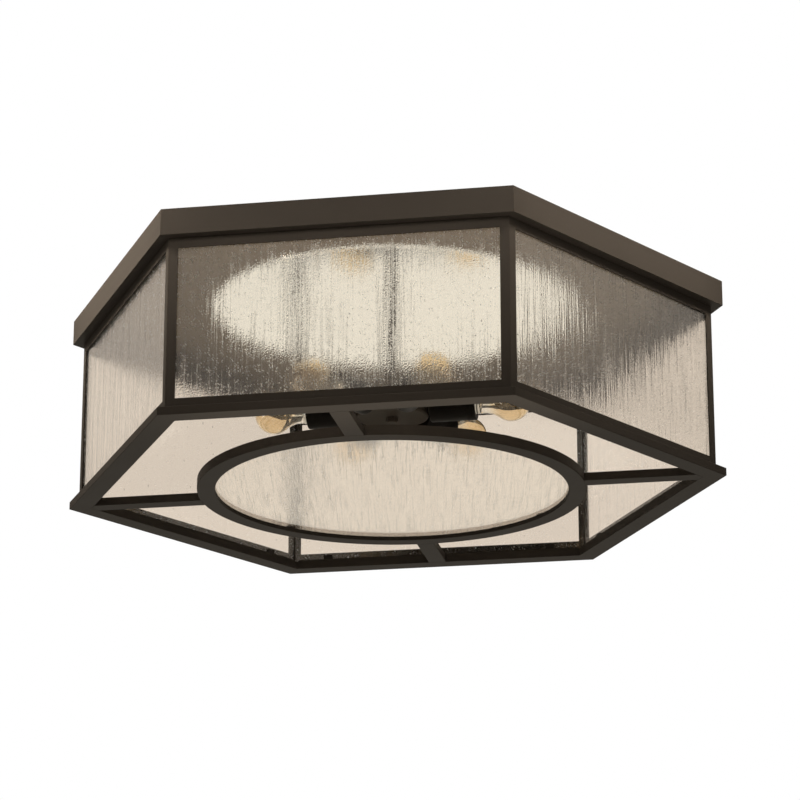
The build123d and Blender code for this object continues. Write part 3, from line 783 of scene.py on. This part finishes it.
def glass_mount(step):
    """Flare and stem inside the neck: radius falls from the flare to the stem by an S curve."""
    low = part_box("lamp_1_glass")[0].x
    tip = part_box("lamp_1_filament")[0].x
    flare, stem = MOUNT_FLARE, MOUNT_STEM
    share = np.linspace(0, 1, ARC_STEPS)
    ease = share**2 * (3 - 2 * share)
    neck = np.stack([low + BULB_WALL + MOUNT_LENGTH * share, flare + (stem - flare) * ease], axis=-1)
    end = [(tip, stem), (tip + MOUNT_PINCH, stem * MOUNT_TIP), (tip + MOUNT_PINCH, 0.0)]
    return lathe(np.concatenate([[[low + BULB_WALL, 0.0]], neck, end]), step)


def wire_tube(path, radius, step):
    """Round wire along a path of points: path + radius * (n cos a + b sin a), closed at its ends."""
    ahead = np.gradient(path, axis=0)
    ahead /= np.linalg.norm(ahead, axis=1, keepdims=True)
    side = np.cross(ahead, WIRE_REFERENCE)
    side /= np.linalg.norm(side, axis=1, keepdims=True)
    other = np.cross(ahead, side)
    turn = np.linspace(0, 2 * pi, WIRE_SIDES, endpoint=False)[None, :, None]
    ring = path[:, None] + radius * (side[:, None] * np.cos(turn) + other[:, None] * np.sin(turn))
    ends = [np.repeat(path[row][None, None], WIRE_SIDES, axis=1) for row in (0, -1)]
    return surface(turned(np.concatenate([ends[0], ring, ends[1]]), step))


def filament(step):
    """Two lead-in wires and a coil between their tips.

    The coil is arc(t) + r (cos(2 pi n t) up + sin(2 pi n t) out), on an arc that bows outwards.
    """
    low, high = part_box("lamp_1_filament")
    axis = (low.z + high.z) / 2
    half = high.y - FILAMENT_WIRE
    share = np.linspace(0, 1, ARC_STEPS)[:, None]
    wires = []
    for way in (-1, 1):
        start = np.array([low.x, way * MOUNT_STEM / 2, axis])
        end = np.array([high.x - FILAMENT_BOW, way * half, axis])
        spread = np.array([0.0, 1.0, 0.0]) * (end - start)
        rise = np.array([1.0, 0.0, 0.0]) * (end - start)
        path = start + rise * share + spread * share**LEAD_IN_FLARE
        wires.append(wire_tube(path, FILAMENT_WIRE, step))
    t = np.linspace(0, 1, FILAMENT_TURNS * FILAMENT_STEPS)
    sweep = 2 * pi * FILAMENT_TURNS * t
    arc = high.x - FILAMENT_BOW + (FILAMENT_BOW - FILAMENT_COIL - FILAMENT_WIRE) * np.sin(pi * t)
    coil = np.stack([arc + FILAMENT_COIL * np.sin(sweep), half * (2 * t - 1),
                     axis + FILAMENT_COIL * np.cos(sweep)], axis=-1)
    return joined(wires + [wire_tube(coil, FILAMENT_WIRE / 2, step)])


def lampholder(step):
    """Moulded holder: a barrel with a raised band and a rolled mouth, a deep bore and a plain hole at
    the back.
    """
    low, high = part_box("lampholder_1")
    outer = high.y
    shell = HOLDER_BORE
    depth = high.x - HOLDER_DEPTH
    grip = low.x + HOLDER_GRIP
    lip = HOLDER_LIP
    barrel = outer - HOLDER_STEP
    band = high.x - HOLDER_BAND
    outline = [
        (low.x, HOLDER_BACK), (low.x, outer - 2 * lip), (low.x + lip, outer - lip),
        (low.x + 3 * lip, barrel), (band - lip, barrel), (band, outer),
        (high.x - 3 * lip, outer), (high.x - lip, outer - lip / 2), (high.x, outer - lip),
        (high.x, shell), (depth, shell), (depth, HOLDER_PASSAGE),
        (grip, HOLDER_PASSAGE), (grip, HOLDER_BACK),
    ]
    return lathe(outline, step, closed=True)


def build_glass(finishes):
    """The six side panes and the round glass."""
    draw = np.random.default_rng(GLASS_DRAW)
    for step in range(SIDES):
        number = step + 1
        finish = finishes[PANE_FINISHES.get(number, OTHER_PANES)]
        make_piece(f"seeded_pane_{number}", [pane_of_glass(step, draw)], finish, "fixture",
                   [f"glass_panel_{number}"])
    make_piece("seeded_disc", [round_glass(draw)], finishes["round_glass"], "fixture",
               ["glass_disc"])


def build_lamps(finishes):
    """Each lamp's bulb, cap, insulator, eyelet and coil, and the holder that it screws into."""
    for step in range(SIDES):
        number = step + 1
        lamp = f"lamp_{number}"
        eyelet = f"{lamp}_eyelet"
        bulb = [lamp_bulb(step), glass_mount(step)]
        holder = [lampholder(step)]
        rows = [
            (f"{lamp}_bulb", bulb, "amber_glass", lamp, [f"{lamp}_glass"]),
            (f"{lamp}_screw_cap", [lamp_cap(step)], "nickel_cap", lamp, [f"{lamp}_cap"]),
            (f"{lamp}_insulator", [cap_insulator(step)], "black_phenolic", lamp, []),
            (f"{lamp}_eyelet_dome", [cap_eyelet(step)], "nickel_cap", eyelet, [f"{lamp}_contact"]),
            (f"{lamp}_coil", [filament(step)], "tungsten", lamp, [f"{lamp}_filament"]),
            (f"holder_{number}", holder, "black_phenolic", "fixture", [f"lampholder_{number}"]),
        ]
        for name, surfaces, slot, body, stands_for in rows:
            make_piece(name, surfaces, finishes[slot], body, stands_for)


def build_camera():
    """The photo's point of view, from in front of the light and below it."""
    camera_data = bpy.data.cameras.new("photo_camera")
    camera_data.lens = CAMERA_LENS
    camera_data.clip_end = CAMERA_REACH
    camera = bpy.data.objects.new("photo_camera", camera_data)
    level = cos(CAMERA_ELEVATION)
    ahead = (sin(CAMERA_AZIMUTH) * level, cos(CAMERA_AZIMUTH) * level, sin(CAMERA_ELEVATION))
    camera.location = CAMERA_PLACE
    camera.rotation_euler = Vector(ahead).to_track_quat("-Z", "Y").to_euler()
    bpy.context.scene.collection.objects.link(camera)
    bpy.context.scene.camera = camera


def build_stage():
    """Pale floor far below, a white background, and a warm pale one that glass and metal show."""
    corner = FLOOR_HALF
    mesh = bpy.data.meshes.new("floor")
    height = -FLOOR_DROP
    mesh.from_pydata([(-corner, -corner, height), (corner, -corner, height), (corner, corner, height),
                      (-corner, corner, height)], [], [(0, 1, 2, 3)])
    floor = bpy.data.objects.new("floor", mesh)
    bpy.context.scene.collection.objects.link(floor)
    material, start = new_material("floor")
    path = start.node("ShaderNodeLightPath")
    seen = start.math("MAXIMUM", path.other("Is Camera Ray"), path.other("Is Transmission Ray"))
    seen = start.math("MAXIMUM", seen, path.other("Is Glossy Ray"))
    seen = start.math("MAXIMUM", seen * FLOOR_SHARE, FLOOR_BOUNCE)
    lit = start.node("ShaderNodeBsdfDiffuse", None, {"Color": FLOOR_COLOUR})
    glow = start.node("ShaderNodeEmission", None, {"Color": FLOOR_SEEN})
    mixed = start.node("ShaderNodeMixShader", None, {0: seen, 1: lit, 2: glow})
    start.node("ShaderNodeOutputMaterial", None, {"Surface": mixed})
    mesh.materials.append(material)

    world = bpy.data.worlds.new("studio")
    bpy.context.scene.world = world
    world.use_nodes = True
    world.node_tree.nodes.clear()
    start = Wire(world.node_tree)
    path = start.node("ShaderNodeLightPath")
    through = start.math("MAXIMUM", path.other("Is Glossy Ray"), path.other("Is Transmission Ray"))
    colour = mix_colour(start, through, AMBIENT, BACKDROP_SEEN)
    colour = mix_colour(start, path.other("Is Camera Ray"), colour, WHITE)
    shader = start.node("ShaderNodeBackground", None, {"Color": colour, "Strength": 1.0})
    start.node("ShaderNodeOutputWorld", None, {"Surface": shader})


def soft_light(name, place, aim, size, power, spread=pi):
    """Soft box at a place, turned to an aim, of a width and a height; spread is its grid's angle."""
    data = bpy.data.lights.new(name, "AREA")
    data.shape = "RECTANGLE"
    data.size, data.size_y = size
    data.spread = spread
    data.energy = power
    data.color = LIGHT_COLOUR
    light = bpy.data.objects.new(name, data)
    light.location = place
    light.rotation_euler = (Vector(aim) - Vector(place)).to_track_quat("-Z", "Y").to_euler()
    light.visible_camera = False
    bpy.context.scene.collection.objects.link(light)
    return light


def build_lights():
    """Strips with a grid that light the paint, and soft boxes that show in the glass and the lamps."""
    for strip in STRIPS:
        light = soft_light(*strip)
        light.visible_glossy = False
        light.visible_transmission = False
    for box in SOFT_BOXES:
        soft_light(*box).visible_diffuse = False


bpy.context.scene.view_settings.view_transform = "Standard"
finishes = make_finishes()
dress_cad_nodes(finishes)
build_glass(finishes)
build_lamps(finishes)
build_camera()
build_stage()
build_lights()
